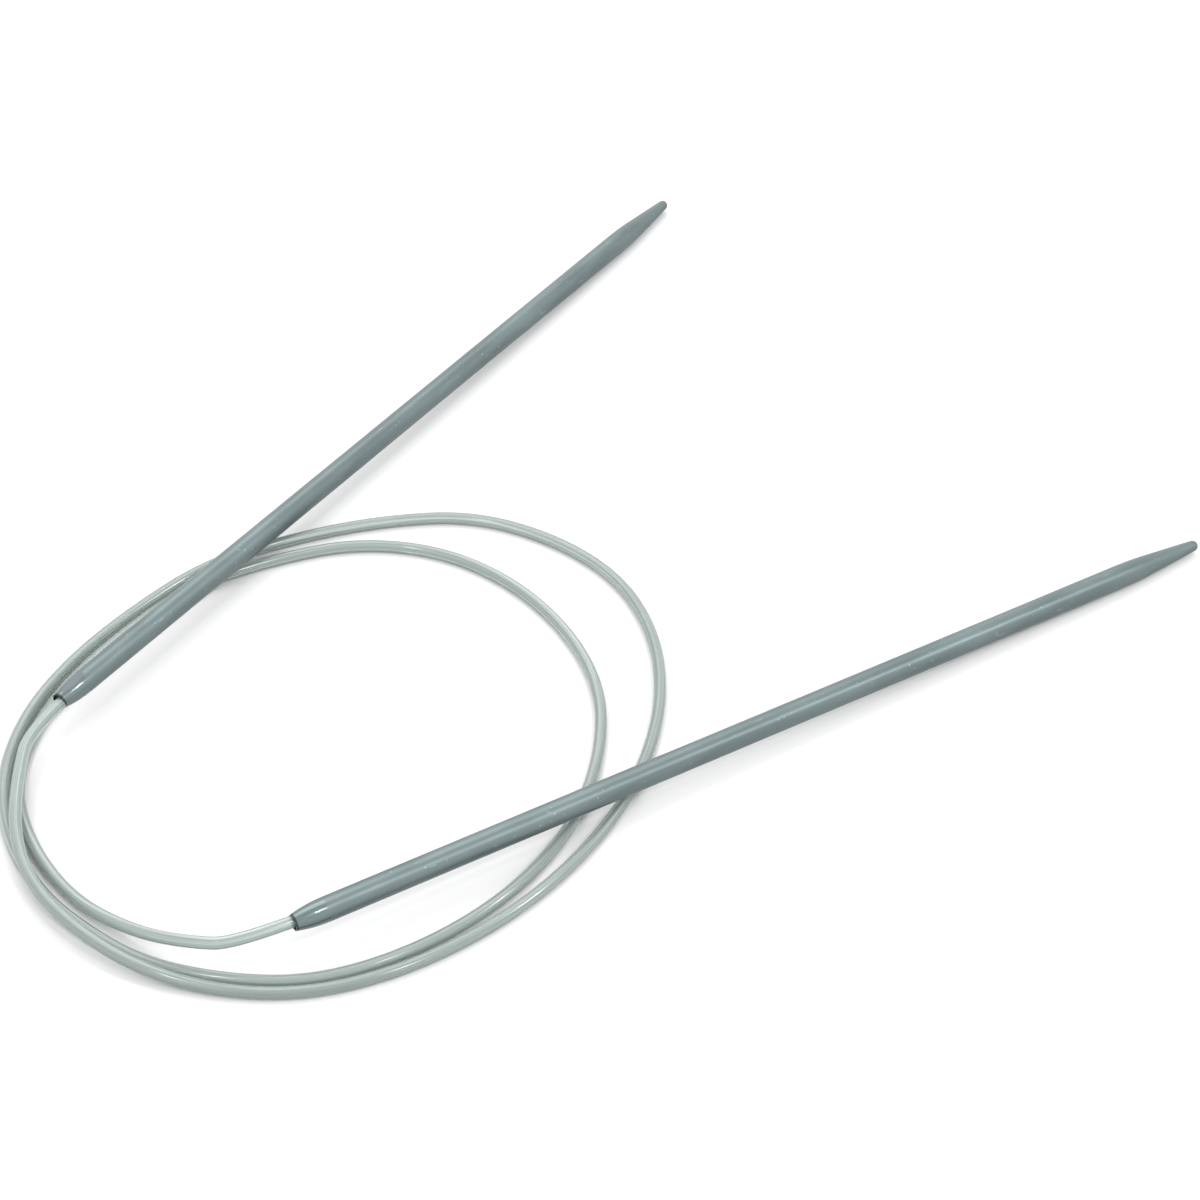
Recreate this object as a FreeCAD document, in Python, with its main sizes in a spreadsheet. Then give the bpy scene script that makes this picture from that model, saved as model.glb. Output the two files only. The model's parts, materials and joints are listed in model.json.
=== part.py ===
"""Circular knitting needle: two metal tips joined by one flexible nylon cord.

Units are millimetres, +Z is up and the needle lies on the plane Z = 0. The origin is
under the middle of the box that holds the two tips.

Each tip is turned from bar: a straight shaft with a long cone and a ball at the point,
and a short domed taper at the back. The back end is drilled, the cord is bonded into
that socket, and a small flat is pressed into the taper to stake it. The cord lies in
two and a third open turns, and both tips rest across it with their points on the table.
"""
import FreeCAD, Part
import math
import os

import Sketcher
from FreeCAD import Placement, Rotation, Vector

SIZES = {
    # Both tips
    "tip_length": 130.0,
    "tip_dia": 3.0,
    "point_angle": 4.5,         # degrees, half the cone's angle
    "point_radius": 0.73,       # the ball at the point
    "shoulder_radius": 56.0,    # the long blend from the shaft into the cone
    "back_taper": 4.0,          # length of the domed taper at the cord's end
    "mouth_rim": 0.15,          # metal left round the socket's mouth, on the end face
    "socket_depth": 10.0,
    "drill_angle": 118.0,       # degrees, the whole angle at the bottom of the socket
    "flat_end": 4.4,            # where the staking flat runs out on the shaft
    "flat_angle": 5.1,          # degrees, slope of the flat towards the mouth
    # Cord and the bond that holds it
    "cord_dia": 1.5,
    "bond_wall": 0.1,           # adhesive between the cord and the socket's wall
    "bond_recess": 0.4,         # how far the adhesive stops inside the mouth
    "cord_end_gap": 0.5,        # adhesive between the cord's end and the socket's bottom
    # How the tips lie: each mouth's place, the way its point looks, how far from the
    # mouth the shaft crosses the outer turn, and the cord's straight run out of the socket
    "crossing_gap": 0.65,       # left between a shaft and the cord it crosses
    "tip_a_left": -70.9,
    "tip_a_front": -35.4,
    "tip_a_heading": 54.8,      # degrees from +X
    "tip_a_crossing": 41.0,
    "tip_a_lead": 5.0,
    "tip_a_roll": 0.0,          # degrees, where the staking flat faces: 0 is up
    "tip_b_left": -40.0,
    "tip_b_front": -70.1,
    "tip_b_heading": 30.8,
    "tip_b_crossing": 47.0,
    "tip_b_lead": 6.3,
    "tip_b_roll": 180.0,
}

# The cord's route between its two straight runs, as corners (x, y) where it lies on the
# table and (x, y, z) where it is raised. It leaves tip a over the left side of the coil,
# goes anticlockwise twice and a third, and climbs into tip b.
ROUTE = [
    (-74.4, -46.6, 3.8), (-73.9, -54.4, 2.8), (-71.0, -62.0, 2.5), (-65.0, -68.7, 2.3),
    (-57.2, -73.9, 1.7), (-48.0, -76.4, 0.8), (-38.1, -76.7), (-28.3, -73.6),
    (-19.2, -68.1), (-11.2, -60.8), (-4.8, -52.1), (-0.2, -42.1), (2.0, -31.1),
    (1.3, -19.9), (-3.2, -9.4), (-12.0, -1.8), (-22.8, 2.4), (-34.4, 1.3),
    (-45.6, -2.0), (-56.2, -6.9), (-64.3, -15.1), (-71.1, -23.9), (-75.8, -33.6),
    (-77.2, -44.2), (-75.0, -54.0), (-69.9, -62.3), (-63.9, -67.8), (-56.8, -72.4),
    (-47.9, -74.7), (-38.4, -75.1), (-29.2, -72.0), (-20.3, -66.3), (-13.3, -59.1),
    (-8.1, -50.1), (-5.6, -40.1), (-5.5, -29.9), (-9.1, -20.1), (-16.1, -10.9),
    (-25.7, -4.6), (-36.9, -2.9), (-47.6, -5.9), (-57.7, -11.0), (-65.4, -19.4),
    (-71.5, -28.6), (-74.8, -37.5), (-75.2, -46.8), (-71.6, -55.9), (-65.8, -63.4),
    (-58.6, -68.5, 1.8), (-52.1, -72.1, 4.2),
]
NECK_RUNS = 3       # the middle of run 3, counted from a tip, ends the neck that bends sideways
BEND_RUNS = 7       # and the middle of run 7 ends the stretch that bends as the tip lifts
ARC_SHARE = 0.45    # of the shorter run beside a corner goes into the corner's arc

doc = FreeCAD.newDocument("circular_needle")


def make_sheet():
    """The spreadsheet that holds every driving size, one named cell each."""
    sheet = doc.addObject("Spreadsheet::Sheet", "sizes")
    for row, (name, value) in enumerate(SIZES.items(), start=1):
        sheet.set("A%d" % row, name)
        sheet.set("B%d" % row, str(value))
        sheet.setAlias("B%d" % row, name)
    doc.recompute()
    return sheet


SHEET = make_sheet()


def size(name):
    """A driving size, read back from its cell."""
    return float(SHEET.get(name))


def cells(expression):
    """An expression for setExpression, with the sheet's name put before each size."""
    for name in sorted(SIZES, key=len, reverse=True):
        expression = expression.replace("{%s}" % name, "<<sizes>>.%s" % name)
    return expression


def plane(body, role):
    """One of a body's own origin planes."""
    for feature in body.Origin.OriginFeatures:
        if feature.Role == role:
            return feature
    raise RuntimeError("no plane " + role)


def new_body(label):
    body = doc.addObject("PartDesign::Body", label)
    body.Label = label
    return body


def new_sketch(body, name):
    """A sketch in the body's XZ plane: its first axis runs along the needle."""
    sketch = body.newObject("Sketcher::SketchObject", name)
    sketch.AttachmentSupport = [(plane(body, "XZ_Plane"), "")]
    sketch.MapMode = "FlatFace"
    return sketch


def line(sketch, start, end):
    return sketch.addGeometry(Part.LineSegment(Vector(*start, 0), Vector(*end, 0)), False)


def arc(sketch, centre, radius, start, end):
    """An arc of a circle, anticlockwise from one point to the other."""
    def angle(point):
        return math.atan2(point[1] - centre[1], point[0] - centre[0])

    circle = Part.Circle(Vector(*centre, 0), Vector(0, 0, 1), radius)
    turned = Part.ArcOfCircle(circle, angle(start), angle(end))
    return sketch.addGeometry(turned, False)


def datum(sketch, kind, where, value, expression):
    """A dimension on the sketch, driven by the sheet."""
    index = sketch.addConstraint(Sketcher.Constraint(kind, *where, value))
    sketch.setExpression("Constraints[%d]" % index, cells(expression))


def place_point(sketch, where, x, y, x_rule, y_rule):
    """Holds one end of a line or arc at a distance along and out from the axis."""
    datum(sketch, "DistanceX", (-1, 1) + where, x, x_rule)
    if y_rule is None:
        sketch.addConstraint(Sketcher.Constraint("PointOnObject", *where, -1))
    else:
        datum(sketch, "DistanceY", (-1, 1) + where, y, y_rule)


def polygon(sketch, corners):
    """A closed outline of straight lines; a corner is (x, y, rule for x, rule for y)."""
    lines = []
    for here, after in zip(corners, corners[1:] + corners[:1]):
        lines.append(line(sketch, here[:2], after[:2]))
    for k, corner in enumerate(corners):
        sketch.addConstraint(Sketcher.Constraint("Coincident", lines[k - 1], 2, lines[k], 1))
        place_point(sketch, (lines[k], 1), *corner)


def revolve(body, sketch, name):
    """Turns the sketch a full turn about the needle's axis."""
    feature = body.newObject("PartDesign::Revolution", name)
    feature.Profile = sketch
    feature.ReferenceAxis = (sketch, ["H_Axis"])
    feature.Angle = 360
    sketch.Visibility = False
    return feature


def tip_outline(body):
    """Half of a tip's outline: socket, end face, domed taper, shaft, cone and ball."""
    shaft = size("tip_dia") / 2
    bore = size("cord_dia") / 2 + size("bond_wall")
    mouth = bore + size("mouth_rim")
    length = size("tip_length")
    depth = size("socket_depth")
    taper = size("back_taper")
    drill = math.radians(size("drill_angle") / 2)
    cone = math.radians(size("point_angle"))
    ball = size("point_radius")
    blend = size("shoulder_radius")

    dome = (taper ** 2 + (shaft - mouth) ** 2) / (2 * (shaft - mouth))
    ball_end = (length - ball + ball * math.sin(cone), ball * math.cos(cone))
    sharp = ball_end[0] - (shaft - ball_end[1]) / math.tan(cone)
    reach = blend * math.tan(cone / 2)
    shaft_end = (sharp - reach, shaft)
    cone_start = (sharp + reach * math.cos(cone), shaft - reach * math.sin(cone))

    sketch = new_sketch(body, body.Label + "_outline")
    drill_cone = line(sketch, (depth + bore / math.tan(drill), 0), (depth, bore))
    wall = line(sketch, (depth, bore), (0, bore))
    face = line(sketch, (0, bore), (0, mouth))
    back = arc(sketch, (taper, shaft - dome), dome, (taper, shaft), (0, mouth))
    side = line(sketch, (taper, shaft), shaft_end)
    shoulder = arc(sketch, (shaft_end[0], shaft - blend), blend, cone_start, shaft_end)
    flank = line(sketch, cone_start, ball_end)
    point = arc(sketch, (length - ball, 0), ball, (length, 0), ball_end)
    axis = line(sketch, (length, 0), (depth + bore / math.tan(drill), 0))

    add = sketch.addConstraint
    add(Sketcher.Constraint("Coincident", drill_cone, 2, wall, 1))
    add(Sketcher.Constraint("Coincident", wall, 2, face, 1))
    add(Sketcher.Constraint("Coincident", face, 2, back, 2))
    add(Sketcher.Constraint("Tangent", back, 1, side, 1))
    add(Sketcher.Constraint("Tangent", side, 2, shoulder, 2))
    add(Sketcher.Constraint("Tangent", shoulder, 1, flank, 1))
    add(Sketcher.Constraint("Tangent", flank, 2, point, 2))
    add(Sketcher.Constraint("Coincident", point, 1, axis, 1))
    add(Sketcher.Constraint("Coincident", axis, 2, drill_cone, 1))
    add(Sketcher.Constraint("PointOnObject", point, 1, -1))
    add(Sketcher.Constraint("PointOnObject", point, 3, -1))
    add(Sketcher.Constraint("PointOnObject", drill_cone, 1, -1))
    add(Sketcher.Constraint("Horizontal", wall))
    add(Sketcher.Constraint("Horizontal", side))
    add(Sketcher.Constraint("PointOnObject", face, 1, -2))
    add(Sketcher.Constraint("PointOnObject", face, 2, -2))
    datum(sketch, "DistanceX", (-1, 1, wall, 1), depth, "{socket_depth}")
    datum(sketch, "DistanceY", (-1, 1, wall, 1), bore, "{cord_dia} / 2 + {bond_wall}")
    datum(sketch, "DistanceX", (-1, 1, drill_cone, 1), depth + bore / math.tan(drill),
          "{socket_depth} + ({cord_dia} / 2 + {bond_wall}) / tan({drill_angle} / 2)")
    datum(sketch, "DistanceY", (-1, 1, face, 2), mouth,
          "{cord_dia} / 2 + {bond_wall} + {mouth_rim}")
    datum(sketch, "DistanceX", (-1, 1, side, 1), taper, "{back_taper}")
    datum(sketch, "DistanceY", (-1, 1, side, 1), shaft, "{tip_dia} / 2")
    datum(sketch, "Radius", (shoulder,), blend, "{shoulder_radius}")
    datum(sketch, "Radius", (point,), ball, "{point_radius}")
    datum(sketch, "DistanceX", (-1, 1, point, 1), length, "{tip_length}")
    datum(sketch, "DistanceY", (flank, 2, flank, 1), cone_start[1] - ball_end[1],
          "{tip_dia} / 2 - {shoulder_radius} * (1 - cos({point_angle}))"
          " - {point_radius} * cos({point_angle})")
    return sketch


def staking_flat(body):
    """Presses the small oval flat into the domed taper, by planing it at a slope."""
    shaft = size("tip_dia") / 2
    slope = math.tan(math.radians(size("flat_angle")))
    end = size("flat_end")
    spare = 1.0     # how far the cut runs past the metal on every side
    sketch = new_sketch(body, body.Label + "_flat_side")
    low = shaft - (end + spare) * slope
    high = shaft + spare * slope
    top = shaft + 2 * spare
    polygon(sketch, [
        (-spare, low, "-%g" % spare,
         "{tip_dia} / 2 - ({flat_end} + %g) * tan({flat_angle})" % spare),
        (end + spare, high, "{flat_end} + %g" % spare,
         "{tip_dia} / 2 + %g * tan({flat_angle})" % spare),
        (end + spare, top, "{flat_end} + %g" % spare, "{tip_dia} / 2 + %g" % (2 * spare)),
        (-spare, top, "-%g" % spare, "{tip_dia} / 2 + %g" % (2 * spare)),
    ])
    pocket = body.newObject("PartDesign::Pocket", body.Label + "_flat")
    pocket.Profile = sketch
    pocket.Type = 0
    pocket.Midplane = True
    pocket.setExpression("Length", cells("2 * {tip_dia}"))
    sketch.Visibility = False
    return pocket


def tip_placement(which):
    """Where a tip lies: its shoulder on the table, its shaft over the cord's turns.

    The tilt is the one that leaves the crossing gap under the shaft while the lowest
    point of the shoulder's blend touches the table.
    """
    name = "tip_%s_" % which
    shaft = size("tip_dia") / 2
    cone = math.radians(size("point_angle"))
    ball = size("point_radius")
    blend = size("shoulder_radius")
    sharp = size("tip_length") - ball * (1 - math.sin(cone))
    sharp -= (shaft - ball * math.cos(cone)) / math.tan(cone)
    shoulder = sharp - blend * math.tan(cone / 2)
    reach = shoulder - size(name + "crossing")
    lift = size("cord_dia") + size("crossing_gap")
    tilt = math.atan2(blend, reach) + math.asin((lift - blend) / math.hypot(blend, reach))
    height = shoulder * math.sin(tilt) + shaft * math.cos(tilt)
    height += blend * (1 - math.cos(tilt))
    mouth = Vector(size(name + "left"), size(name + "front"), height)
    turn = Rotation(Vector(0, 0, 1), size(name + "heading"))
    dip = Rotation(Vector(0, 1, 0), math.degrees(tilt))
    roll = Rotation(Vector(1, 0, 0), size(name + "roll"))
    return Placement(mouth, turn.multiply(dip).multiply(roll))


def make_tip(which):
    """One metal tip, from the socket's mouth at its own origin to the point on +X."""
    body = new_body("needle_tip_" + which)
    revolve(body, tip_outline(body), body.Label + "_turned")
    doc.recompute()
    turned_volume = body.Shape.Volume
    staking_flat(body)
    doc.recompute()
    if not body.Shape.Volume < turned_volume:
        raise RuntimeError("the staking flat cut nothing")
    body.Placement = tip_placement(which)
    return body


def make_bond(which):
    """The cured adhesive: a thin sleeve round the cord, closed at the drilled bottom."""
    cord = size("cord_dia") / 2
    bore = cord + size("bond_wall")
    depth = size("socket_depth")
    gap = size("cord_end_gap")
    recess = size("bond_recess")
    drill = math.radians(size("drill_angle") / 2)
    bore_rule = "{cord_dia} / 2 + {bond_wall}"
    cord_rule = "{cord_dia} / 2"
    end_rule = "{socket_depth} - {cord_end_gap}"
    body = new_body("socket_bond_" + which)
    sketch = new_sketch(body, body.Label + "_section")
    polygon(sketch, [
        (recess, cord, "{bond_recess}", cord_rule),
        (depth - gap, cord, end_rule, cord_rule),
        (depth - gap, 0, end_rule, None),
        (depth + bore / math.tan(drill), 0,
         "{socket_depth} + ({cord_dia} / 2 + {bond_wall}) / tan({drill_angle} / 2)", None),
        (depth, bore, "{socket_depth}", bore_rule),
        (recess, bore, "{bond_recess}", bore_rule),
    ])
    revolve(body, sketch, body.Label + "_turned")
    doc.recompute()
    body.Placement = tip_placement(which)
    return body


def cord_route():
    """Every corner of the cord's route, from tip a's mouth to tip b's mouth."""
    lying = size("cord_dia") / 2
    ends = []
    for which in "ab":
        place = tip_placement(which)
        ends.append((place.Base, place.multVec(Vector(-size("tip_%s_lead" % which), 0, 0))))
    corners = [Vector(*corner) if len(corner) == 3 else Vector(*corner, lying)
               for corner in ROUTE]
    return [ends[0][0], ends[0][1]] + corners + [ends[1][1], ends[1][0]]


class CordPath:
    """Straight runs joined by tangent arcs, each as large as its two runs allow."""

    def __init__(self, corners):
        self.corners = corners
        self.runs = [after - here for here, after in zip(corners, corners[1:])]
        self.arcs = {}
        for k in range(1, len(corners) - 1):
            before, after = self.runs[k - 1], self.runs[k]
            turn = before.getAngle(after)
            reach = ARC_SHARE * min(before.Length, after.Length)
            radius = reach / math.tan(turn / 2)
            into, out = Vector(before).normalize(), Vector(after).normalize()
            inward = (out - into).normalize()
            middle = corners[k] + inward * (math.hypot(reach, radius) - radius)
            self.arcs[k] = (corners[k] - into * reach, middle, corners[k] + out * reach, radius)

    def middle(self, run):
        return self.corners[run] + self.runs[run] * 0.5

    def wire(self, start, first, last, end):
        """The path from start, round the corners first to last, to end."""
        edges = []
        here = start
        for k in range(first, last + 1):
            begin, middle, finish, _ = self.arcs[k]
            edges.append(Part.LineSegment(here, begin).toShape())
            edges.append(Part.Arc(begin, middle, finish).toShape())
            here = finish
        edges.append(Part.LineSegment(here, end).toShape())
        return Part.Wire(edges)


def make_tube(label, wire):
    """A stretch of cord: its round section swept along the wire."""
    radius = size("cord_dia") / 2
    first = wire.Edges[0]
    start = first.valueAt(first.FirstParameter)
    along = first.tangentAt(first.FirstParameter)
    section = Part.Wire(Part.Circle(start, along, radius).toShape())
    tube = wire.makePipeShell([section], True, False)
    feature = doc.addObject("Part::Feature", label)
    feature.Label = label
    feature.Shape = tube
    feature.Placement = Placement()
    expected = math.pi * radius ** 2 * wire.Length
    print("%s: length %.1f, volume %.2f of %.2f" % (label, wire.Length, tube.Volume, expected))
    if abs(tube.Volume / expected - 1) > 0.001:
        raise RuntimeError(label + " has the wrong volume")
    return feature


def make_cord():
    """The one nylon cord, as the five stretches that move apart from each other.

    A neck is bonded into each socket and bends as its tip swings; a bend comes next and
    rises as its tip lifts; the loop between the bends lies still. They meet face to face.
    """
    path = CordPath(cord_route())
    last_run = len(path.runs) - 1
    last_corner = last_run
    grip = size("socket_depth") - size("cord_end_gap")
    inner_a = tip_placement("a").multVec(Vector(grip, 0, 0))
    inner_b = tip_placement("b").multVec(Vector(grip, 0, 0))
    neck_a, bend_a = NECK_RUNS, BEND_RUNS
    neck_b, bend_b = last_run - NECK_RUNS, last_run - BEND_RUNS
    radii = [path.arcs[k][3] for k in sorted(path.arcs)]
    print("cord radii, smallest %.1f: %s" % (min(radii), " ".join("%.1f" % r for r in radii)))
    middle = path.middle
    return [
        make_tube("cord_neck_a", path.wire(inner_a, 1, neck_a, middle(neck_a))),
        make_tube("cord_bend_a", path.wire(middle(neck_a), neck_a + 1, bend_a, middle(bend_a))),
        make_tube("cord_loop", path.wire(middle(bend_a), bend_a + 1, bend_b, middle(bend_b))),
        make_tube("cord_bend_b", path.wire(middle(bend_b), bend_b + 1, neck_b, middle(neck_b))),
        make_tube("cord_neck_b", path.wire(middle(neck_b), neck_b + 1, last_corner, inner_b)),
    ]


def check_and_write(pieces):
    """Stops on any failed feature or bad shape, then writes one STEP file a piece."""
    doc.recompute()
    for thing in doc.Objects:
        if "Invalid" in thing.State or "Error" in thing.State:
            raise RuntimeError("%s failed: %s" % (thing.Label, thing.State))
    for piece in pieces:
        if piece.Shape.isNull() or not piece.Shape.isValid():
            raise RuntimeError(piece.Label + " has no valid shape")
    os.makedirs("parts", exist_ok=True)
    for piece in pieces:
        piece.Shape.exportStep("parts/%s.step" % piece.Label)
        box = piece.Shape.BoundBox
        print("%s: solids %d, volume %.2f, x %.2f..%.2f y %.2f..%.2f z %.3f..%.3f" % (
            piece.Label, len(piece.Shape.Solids), piece.Shape.Volume,
            box.XMin, box.XMax, box.YMin, box.YMax, box.ZMin, box.ZMax))


tips = [make_tip(which) for which in "ab"]
bonds = [make_bond(which) for which in "ab"]
cord = make_cord()
check_and_write(tips + bonds + cord)
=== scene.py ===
# The looks of a circular knitting needle: two grey lacquered aluminium tips on the ends
# of one clear nylon cord, lying in loose turns on a pale table.
#
# The tips and the adhesive in their sockets are the frame's own nodes with better
# materials. The cord's five stretches are tubes along one smooth line: the loop between
# the bends is put on the coil's body, and the necks and bends stay as they are drawn.

import json
import math

import bpy
import numpy as np
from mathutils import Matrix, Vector


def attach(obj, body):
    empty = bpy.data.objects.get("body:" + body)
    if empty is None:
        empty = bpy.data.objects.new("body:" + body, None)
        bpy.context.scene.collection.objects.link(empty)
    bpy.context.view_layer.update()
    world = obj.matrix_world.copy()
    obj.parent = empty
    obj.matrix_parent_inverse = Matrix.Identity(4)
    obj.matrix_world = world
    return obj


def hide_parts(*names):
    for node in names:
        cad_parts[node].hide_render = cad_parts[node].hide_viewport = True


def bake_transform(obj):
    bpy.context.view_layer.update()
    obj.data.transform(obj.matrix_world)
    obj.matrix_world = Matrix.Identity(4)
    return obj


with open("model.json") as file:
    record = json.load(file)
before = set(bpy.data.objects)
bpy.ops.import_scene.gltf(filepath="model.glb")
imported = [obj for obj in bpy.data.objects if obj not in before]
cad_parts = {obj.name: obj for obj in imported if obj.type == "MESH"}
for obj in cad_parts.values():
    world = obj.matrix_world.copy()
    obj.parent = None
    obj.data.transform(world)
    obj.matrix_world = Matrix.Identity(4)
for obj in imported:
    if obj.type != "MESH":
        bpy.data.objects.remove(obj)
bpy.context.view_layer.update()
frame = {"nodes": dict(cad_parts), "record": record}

MM = 0.001
CORD_RADIUS = 0.75 * MM
BACK_TAPER = 4.0 * MM       # from a tip's mouth to where its straight shaft starts
LEAD_RUN = {"a": 5.0 * MM, "b": 6.3 * MM}   # the cord's straight run out of each socket
GRIP = 9.5 * MM             # how far the cord goes into a socket
FLAT_SLOPE = math.tan(math.radians(5.1))    # of the staking flat, towards the mouth
FLAT_REACH = 4.4 * MM       # how far up the tip, from the mouth, the flat is coloured
FLAT_HEIGHT = 1.485 * MM    # how far off the tip's middle line its colour starts there
MOUTH_SHADE_DEPTH = 0.22 * MM       # the dark edge painted round a mouth, as shade in its gap

LENS = 85.7                 # millimetres, with a sensor SENSOR_WIDTH wide
SENSOR_WIDTH = 36.0
CAMERA_PLACE = (-0.00566, -0.27506, 0.25274)
CAMERA_DIP = 43.94          # degrees below level

LACQUER_ROUGHNESS = (0.34, 0.46)    # at its smoothest and at its dullest
DOME_POLISH = 0.18          # how much smoother a tip's domed back end is
FLAT_ROUGHNESS = 0.55       # the staking flat is at least this rough
MARK_STRENGTH = 0.4         # how strongly scratches and specks show

# The corners that the cord's line is drawn towards, in metres, from tip a to tip b.
ROUTE = [
    (-.0744, -.0466, .0038), (-.0739, -.0544, .0028), (-.0710, -.0620, .0025),
    (-.0650, -.0687, .0023), (-.0572, -.0739, .0017), (-.0480, -.0764, .0008),
    (-.0381, -.0767), (-.0283, -.0736), (-.0192, -.0681), (-.0112, -.0608),
    (-.0048, -.0521), (-.0002, -.0421), (.0020, -.0311), (.0013, -.0199),
    (-.0032, -.0094), (-.0120, -.0018), (-.0228, .0024), (-.0344, .0013),
    (-.0456, -.0020), (-.0562, -.0069), (-.0643, -.0151), (-.0711, -.0239),
    (-.0758, -.0336), (-.0772, -.0442), (-.0750, -.0540), (-.0699, -.0623),
    (-.0639, -.0678), (-.0568, -.0724), (-.0479, -.0747), (-.0384, -.0751),
    (-.0292, -.0720), (-.0203, -.0663), (-.0133, -.0591), (-.0081, -.0501),
    (-.0056, -.0401), (-.0055, -.0299), (-.0091, -.0201), (-.0161, -.0109),
    (-.0257, -.0046), (-.0369, -.0029), (-.0476, -.0059), (-.0577, -.0110),
    (-.0654, -.0194), (-.0715, -.0286), (-.0748, -.0375), (-.0752, -.0468),
    (-.0716, -.0559), (-.0658, -.0634), (-.0586, -.0685, .0018),
    (-.0521, -.0721, .0042),
]
NECK_RUNS = 3       # a neck ends in the middle of run 3, counted from its tip
BEND_RUNS = 7       # and a bend in the middle of run 7


# ---------------------------------------------------------------- camera and stage

def add_camera():
    """The camera, in front of the needle and above it, looking down at 44 degrees."""
    lens = bpy.data.cameras.new("camera")
    lens.lens = LENS
    lens.sensor_width = SENSOR_WIDTH
    lens.clip_start = 0.01
    camera = bpy.data.objects.new("camera", lens)
    camera.location = CAMERA_PLACE
    camera.rotation_euler = (math.radians(90 - CAMERA_DIP), 0, 0)
    bpy.context.scene.collection.objects.link(camera)
    bpy.context.scene.camera = camera


def add_light(name, size, power, place, target):
    """A square white lamp, with its side in metres, that faces a target."""
    lamp = bpy.data.lights.new(name, "AREA")
    lamp.shape = "SQUARE"
    lamp.size = size
    lamp.energy = power
    light = bpy.data.objects.new(name, lamp)
    light.location = place
    aim = Vector(target) - Vector(place)
    light.rotation_euler = aim.to_track_quat("-Z", "Y").to_euler()
    bpy.context.scene.collection.objects.link(light)


def add_world(strength):
    """An even white dome; colours are shown as they are, with no film curve."""
    world = bpy.data.worlds.new("studio")
    world.use_nodes = True
    back = world.node_tree.nodes["Background"]
    back.inputs["Color"].default_value = (1.0, 1.0, 1.0, 1.0)
    back.inputs["Strength"].default_value = strength
    bpy.context.scene.world = world
    bpy.context.scene.view_settings.view_transform = "Standard"


# ---------------------------------------------------------------- materials

def linear(code, alpha=1.0):
    """An sRGB hex colour as the linear values that Blender works in."""
    values = [int(code[k:k + 2], 16) / 255 for k in (1, 3, 5)]
    values = [v / 12.92 if v <= 0.04045 else ((v + 0.055) / 1.055) ** 2.4 for v in values]
    return (*values, alpha)


def node(tree, kind, settings=None, **links):
    """Adds a node and sets its properties and inputs. An input is given by its name, or by
    its number after an underscore; a socket is linked to it, and a value is set."""
    made = tree.nodes.new(kind)
    for name, value in (settings or {}).items():
        setattr(made, name, value)
    for name, value in links.items():
        socket = made.inputs[int(name[1:])] if name[0] == "_" else made.inputs[name]
        if isinstance(value, bpy.types.NodeSocket):
            tree.links.new(value, socket)
        else:
            socket.default_value = value
    return made


def ramp(tree, factor, stops):
    """A colour ramp with the given (position, colour) stops, in order."""
    made = node(tree, "ShaderNodeValToRGB", Fac=factor)
    band = made.color_ramp
    band.elements[0].position, band.elements[0].color = stops[0]
    band.elements[1].position, band.elements[1].color = stops[-1]
    for position, colour in stops[1:-1]:
        band.elements.new(position).color = colour
    return made.outputs["Color"]


def new_material(name):
    """A new material, its node tree and its shader."""
    made = bpy.data.materials.new(name)
    made.use_nodes = True
    return made, made.node_tree, made.node_tree.nodes["Principled BSDF"]


def maths(tree, operation, *inputs):
    """The output of a Math node on sockets or numbers."""
    made = node(tree, "ShaderNodeMath", {"operation": operation})
    for socket, given in zip(made.inputs, inputs):
        if isinstance(given, bpy.types.NodeSocket):
            tree.links.new(given, socket)
        else:
            socket.default_value = given
    return made.outputs[0]


def blend_colour(tree, factor, one, two, kind="MIX"):
    """One colour laid over another by a factor: inputs 6 and 7 are a Mix node's colours."""
    made = node(tree, "ShaderNodeMix", {"data_type": "RGBA", "blend_type": kind},
                _0=factor, _6=one, _7=two)
    return made.outputs[2]


def nylon_monofilament():
    """Extruded clear nylon: pale grey green, glossy, with painted shade where it turns away from
    the view, and faint lengthwise streaks, both die lines and painted highlight lines of light
    refracted through it, that break its long highlights."""
    made, tree, shader = new_material("nylon_monofilament")
    place = node(tree, "ShaderNodeUVMap", {"uv_map": "around_and_along"}).outputs["UV"]
    place = node(tree, "ShaderNodeSeparateXYZ", Vector=place)
    angle = maths(tree, "MULTIPLY", place.outputs["X"], 2 * math.pi)
    metre = 9.0     # a metre of cord, in radii of the circle that the texture goes round
    round_it = node(tree, "ShaderNodeCombineXYZ",
                    X=maths(tree, "COSINE", angle), Y=maths(tree, "SINE", angle),
                    Z=maths(tree, "MULTIPLY", place.outputs["Y"], metre))
    # painted highlight: the paler streaks stand partly for die lines and partly for light
    # refracted through the clear strand
    streaks_and_painted_highlights = node(tree, "ShaderNodeTexNoise", Vector=round_it.outputs[0],
                 Scale=2.6, Detail=3.0, Roughness=0.6).outputs["Fac"]
    body = ramp(tree, streaks_and_painted_highlights, [(0.30, linear("#87938E")), (0.46, linear("#96A29D")),
                              (0.58, linear("#9EAAA5")), (0.68, linear("#C2CCC8"))])
    # painted shade: the colour is darkened where the surface turns away from the view, for light
    # refracted away at a clear strand's edges
    away = node(tree, "ShaderNodeLayerWeight", Blend=0.35).outputs["Facing"]
    painted_rim_shade = ramp(tree, away, [(0.35, (1, 1, 1, 1)), (0.85, (0.74, 0.78, 0.76, 1))])
    tree.links.new(blend_colour(tree, 1.0, body, painted_rim_shade, "MULTIPLY"),
                   shader.inputs["Base Color"])
    shader.inputs["Roughness"].default_value = 0.16
    shader.inputs["IOR"].default_value = 1.53
    shader.inputs["Transmission Weight"].default_value = 0.55
    return made


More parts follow.
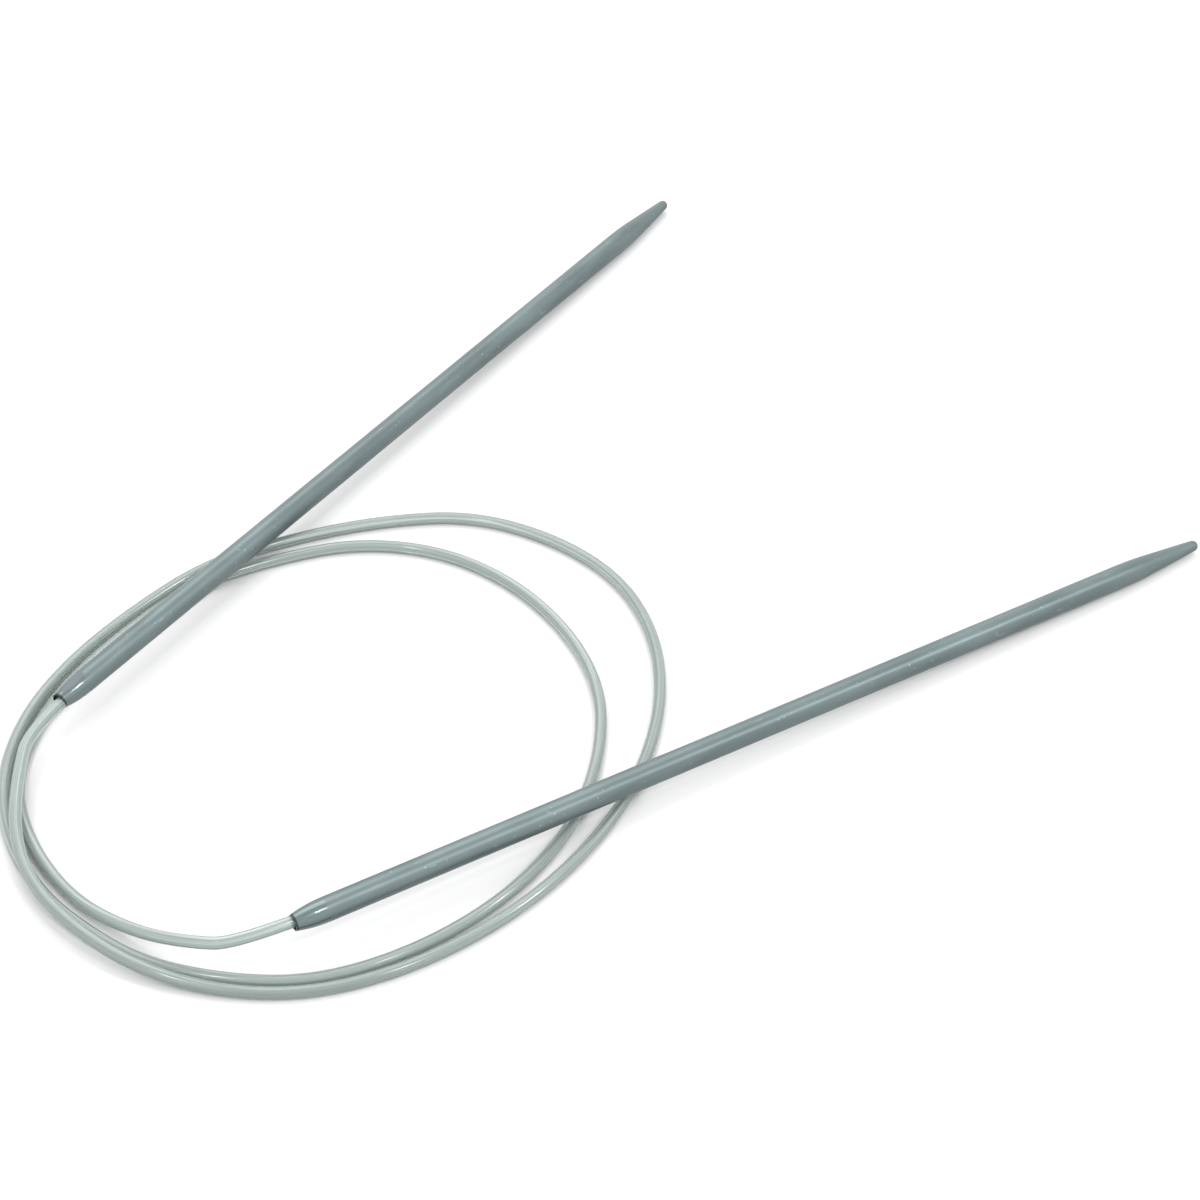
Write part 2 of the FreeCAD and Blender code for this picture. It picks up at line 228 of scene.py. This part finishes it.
def lacquered_aluminium(name, mouth, axis, flat_side):
    """Turned aluminium under thin grey lacquer: satin, a little uneven, with fine pale
    scratches along the shaft, painted shade round the mouth for its shadowed gap, and a duller
    staking flat."""
    made, tree, shader = new_material(name)
    turn = Vector(axis).to_track_quat("X", "Z").to_euler()
    local = node(tree, "ShaderNodeMapping", {"vector_type": "TEXTURE"},
                 Vector=node(tree, "ShaderNodeTexCoord").outputs["Object"],
                 Location=tuple(mouth), Rotation=tuple(turn)).outputs[0]

    def stretched(along, across, detail=2.0):
        """Noise with so many features in a metre along the needle and across it."""
        scaled = node(tree, "ShaderNodeVectorMath", {"operation": "MULTIPLY"},
                      _0=local, _1=(along, across, across)).outputs[0]
        return node(tree, "ShaderNodeTexNoise", Vector=scaled, Scale=1.0,
                    Detail=detail).outputs["Fac"]

    coat = ramp(tree, stretched(90, 500, 4.0),
                [(0.35, linear("#566162")), (0.65, linear("#616D6D"))])
    scratch = ramp(tree, stretched(420, 5200), [(0.70, (0, 0, 0, 1)), (0.76, (1, 1, 1, 1))])
    speck = ramp(tree, stretched(2600, 2600, 0.0), [(0.80, (0, 0, 0, 1)), (0.84, (1, 1, 1, 1))])
    marks = maths(tree, "MULTIPLY", maths(tree, "MAXIMUM", scratch, speck), MARK_STRENGTH)
    colour = blend_colour(tree, marks, coat, linear("#98A4A2"))

    where = node(tree, "ShaderNodeSeparateXYZ", Vector=local)
    along, high = where.outputs["X"], where.outputs["Z"]
    rise = maths(tree, "MULTIPLY", maths(tree, "SUBTRACT", FLAT_REACH, along), FLAT_SLOPE)
    level = maths(tree, "ADD", maths(tree, "MULTIPLY", high, flat_side), rise)
    flat = maths(tree, "GREATER_THAN", level, FLAT_HEIGHT)
    flat = maths(tree, "MULTIPLY", flat, maths(tree, "LESS_THAN", along, FLAT_REACH))
    colour = blend_colour(tree, flat, colour, linear("#5C6468"))
    # painted shade: the first fraction of a millimetre at the mouth is coloured near black, for
    # the shadow in the socket's gap
    painted_mouth_shade = maths(tree, "LESS_THAN", along, MOUTH_SHADE_DEPTH)
    colour = blend_colour(tree, painted_mouth_shade, colour, linear("#2E3537"))
    tree.links.new(colour, shader.inputs["Base Color"])
    smoothest, dullest = LACQUER_ROUGHNESS
    rough = node(tree, "ShaderNodeMapRange", Value=stretched(300, 1500),
                 _3=smoothest, _4=dullest)
    dome = maths(tree, "LESS_THAN", along, BACK_TAPER)
    polish = maths(tree, "MULTIPLY", dome, DOME_POLISH)
    rough = maths(tree, "SUBTRACT", rough.outputs[0], polish)
    dull = maths(tree, "MULTIPLY", flat, FLAT_ROUGHNESS)
    tree.links.new(maths(tree, "MAXIMUM", rough, dull), shader.inputs["Roughness"])
    shader.inputs["Metallic"].default_value = 0.7
    return made


def cured_epoxy():
    """Cured adhesive: a dull amber grey, slightly clouded."""
    made, tree, shader = new_material("cured_epoxy")
    place = node(tree, "ShaderNodeTexCoord").outputs["Object"]
    cloud = node(tree, "ShaderNodeTexNoise", Vector=place, Scale=900.0).outputs["Fac"]
    tree.links.new(ramp(tree, cloud, [(0.3, linear("#5F5D4C")), (0.7, linear("#7A765F"))]),
                   shader.inputs["Base Color"])
    shader.inputs["Roughness"].default_value = 0.35
    return made


def table_top():
    """A matt pale board, so slightly mottled that it reads as one even tone."""
    made, tree, shader = new_material("table_top")
    place = node(tree, "ShaderNodeTexCoord").outputs["Object"]
    mottle = node(tree, "ShaderNodeTexNoise", Vector=place, Scale=6.0).outputs["Fac"]
    tree.links.new(ramp(tree, mottle, [(0.3, linear("#C4C4C4")), (0.7, linear("#C8C8C8"))]),
                   shader.inputs["Base Color"])
    shader.inputs["Roughness"].default_value = 0.85
    return made


# ---------------------------------------------------------------- the cord

def mouths():
    """Each tip's mouth and the direction of its point, worked out from its shaft mount."""
    found = {}
    for mount in frame["record"]["mounts"]:
        axis = np.array(mount["axis"])
        axis /= np.linalg.norm(axis)
        half = mount["dims"]["length_mm"] * MM / 2
        found[mount["name"][-1]] = (np.array(mount["pos_m"]) - axis * (half + BACK_TAPER), axis)
    return found


def route_corners(ends):
    """The whole route: tip a's mouth, the end of its straight run, the corners, the start
    of tip b's straight run and tip b's mouth. A corner with no height lies on the table."""
    (mouth_a, axis_a), (mouth_b, axis_b) = ends["a"], ends["b"]
    corners = [mouth_a, mouth_a - axis_a * LEAD_RUN["a"]]
    corners += [np.array((*c, CORD_RADIUS)[:3]) for c in ROUTE]
    corners += [mouth_b - axis_b * LEAD_RUN["b"], mouth_b]
    return corners


def smooth_line(name, corners, per_corner=12):
    """Points along a NURBS spline that has the corners as its control points."""
    curve = bpy.data.curves.new(name + "_line", "CURVE")
    curve.dimensions = "3D"
    spline = curve.splines.new("NURBS")
    spline.points.add(len(corners) - 1)
    for point, corner in zip(spline.points, corners):
        point.co = (*corner, 1.0)
    spline.order_u = 3
    spline.use_endpoint_u = True
    spline.resolution_u = per_corner
    holder = bpy.data.objects.new(name + "_line", curve)
    line = bpy.data.meshes.new_from_object(holder)
    points = np.empty(len(line.vertices) * 3)
    line.vertices.foreach_get("co", points)
    bpy.data.objects.remove(holder)
    bpy.data.meshes.remove(line)
    return points.reshape(-1, 3)


def run_lengths(line):
    """The distance along a line at each of its points."""
    return np.concatenate([[0], np.cumsum(np.linalg.norm(np.diff(line, axis=0), axis=1))])


def round_tube(name, line, radius, begin, closed, sides=24):
    """A round tube along a line, open where the next stretch carries on from it.

    Ring i is the circle P_i + r (cos a * side_i + sin a * up_i), where side is level and
    square to the line's direction and up is square to both. The texture map holds the
    angle a as u and the distance along the whole cord, in metres, as v. A closed end has
    a flat cap, a fan of triangles round the line's own end point.
    """
    ahead = np.gradient(line, axis=0)
    ahead /= np.linalg.norm(ahead, axis=1, keepdims=True)
    side = np.cross(ahead, (0, 0, 1))
    side /= np.linalg.norm(side, axis=1, keepdims=True)
    up = np.cross(side, ahead)
    angle = np.linspace(0, 2 * np.pi, sides, endpoint=False)
    ring = np.cos(angle)[:, None] * side[:, None] + np.sin(angle)[:, None] * up[:, None]
    points = (line[:, None] + radius * ring).reshape(-1, 3)
    count = len(line)

    i, j = np.meshgrid(np.arange(count - 1), np.arange(sides), indexing="ij")
    after = (j + 1) % sides
    walls = np.stack([i * sides + j, (i + 1) * sides + j,
                      (i + 1) * sides + after, i * sides + after], axis=-1).reshape(-1, 4)
    along = begin + run_lengths(line)
    u = np.stack([j, j, j + 1, j + 1], axis=-1) / sides
    v = np.stack([along[i], along[i + 1], along[i + 1], along[i]], axis=-1)
    texture = np.stack([u, v], axis=-1).reshape(-1, 2)
    faces = walls.tolist()
    if closed:
        k = np.arange(sides)
        centre = np.full(sides, len(points))
        if closed == "first":
            points = np.vstack([points, line[0]])
            cap = np.stack([centre, k, (k + 1) % sides], axis=-1)
        else:
            points = np.vstack([points, line[-1]])
            last = (count - 1) * sides
            cap = np.stack([centre, last + (k + 1) % sides, last + k], axis=-1)
        faces += cap.tolist()
        texture = np.vstack([texture, np.zeros((sides * 3, 2))])

    mesh = bpy.data.meshes.new(name)
    mesh.from_pydata(points.tolist(), [], faces)
    mesh.uv_layers.new(name="around_and_along").data.foreach_set("uv", texture.ravel())
    mesh.polygons.foreach_set("use_smooth", np.arange(len(faces)) < len(walls))
    mesh.update()
    made = bpy.data.objects.new(name, mesh)
    bpy.context.scene.collection.objects.link(made)
    return made


def make_cord(plastic):
    """The cord as five stretches that meet in the middle of a run, where the smooth line
    touches it, so place and direction carry on from one stretch to the next."""
    ends = mouths()
    corners = route_corners(ends)
    last = len(corners) - 2     # where tip b's straight run starts
    breaks = [NECK_RUNS, BEND_RUNS, last - BEND_RUNS, last - NECK_RUNS]
    middles = [(corners[k] + corners[k + 1]) / 2 for k in breaks]
    grip_a = ends["a"][0] + ends["a"][1] * GRIP
    grip_b = ends["b"][0] + ends["b"][1] * GRIP
    joins = [grip_a] + middles + [grip_b]
    first_corners = [1] + [k + 1 for k in breaks]
    last_corners = breaks + [last]

    pieces, reached = {}, 0.0
    for k, stretch in enumerate(["neck_a", "bend_a", "loop", "bend_b", "neck_b"]):
        name = "cord_%s_tube" % stretch
        line = smooth_line(name, [joins[k]] + corners[first_corners[k]:last_corners[k] + 1]
                           + [joins[k + 1]])
        closed = {"neck_a": "first", "neck_b": "last"}.get(stretch)
        piece = round_tube(name, line, CORD_RADIUS, reached, closed)
        piece.data.materials.append(plastic)
        length = float(run_lengths(line)[-1])
        reached += length
        if stretch.endswith("_b"):
            line = line[::-1]       # told from tip b outwards
        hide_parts("cord_" + stretch)
        pieces[stretch] = piece

    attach(pieces["loop"], "coil")
    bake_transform(pieces["bend_a"])
    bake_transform(pieces["bend_b"])
    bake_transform(pieces["neck_a"])
    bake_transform(pieces["neck_b"])


# ---------------------------------------------------------------- putting it together

def finish_node(name, material):
    """Gives one of the frame's own nodes its material."""
    mesh = frame["nodes"][name].data
    mesh.materials.clear()
    mesh.materials.append(material)


def add_table(material):
    """The board that the needle lies on, kept out of the model as part of the stage."""
    mesh = bpy.data.meshes.new("table")
    half = 1.5
    mesh.from_pydata([(-half, -half, 0), (half, -half, 0), (half, half, 0), (-half, half, 0)],
                     [], [(0, 1, 2, 3)])
    mesh.materials.append(material)
    table = bpy.data.objects.new("table", mesh)
    bpy.context.scene.collection.objects.link(table)


add_camera()
make_cord(nylon_monofilament())
for which, (mouth, axis) in mouths().items():
    flat_side = {"a": 1, "b": -1}[which]        # up on tip a, down on tip b
    finish_node("needle_tip_" + which,
                lacquered_aluminium("lacquer_" + which, mouth, axis, flat_side))
    finish_node("socket_bond_" + which, cured_epoxy())
add_table(table_top())
add_world(strength=1.7)
add_light("softbox_back", size=0.6, power=3.0, place=(-0.15, 0.45, 0.7), target=(0, 0, 0))
add_light("lamp_right", size=0.05, power=0.8, place=(0.42, -0.10, 0.50), target=(-0.03, -0.03, 0))
add_light("lamp_left", size=0.05, power=0.8, place=(-0.28, -0.36, 0.70), target=(-0.05, -0.07, 0))
add_light("lamp_front", size=0.04, power=0.5, place=(0.20, -0.27, 0.50), target=(-0.05, -0.05, 0))
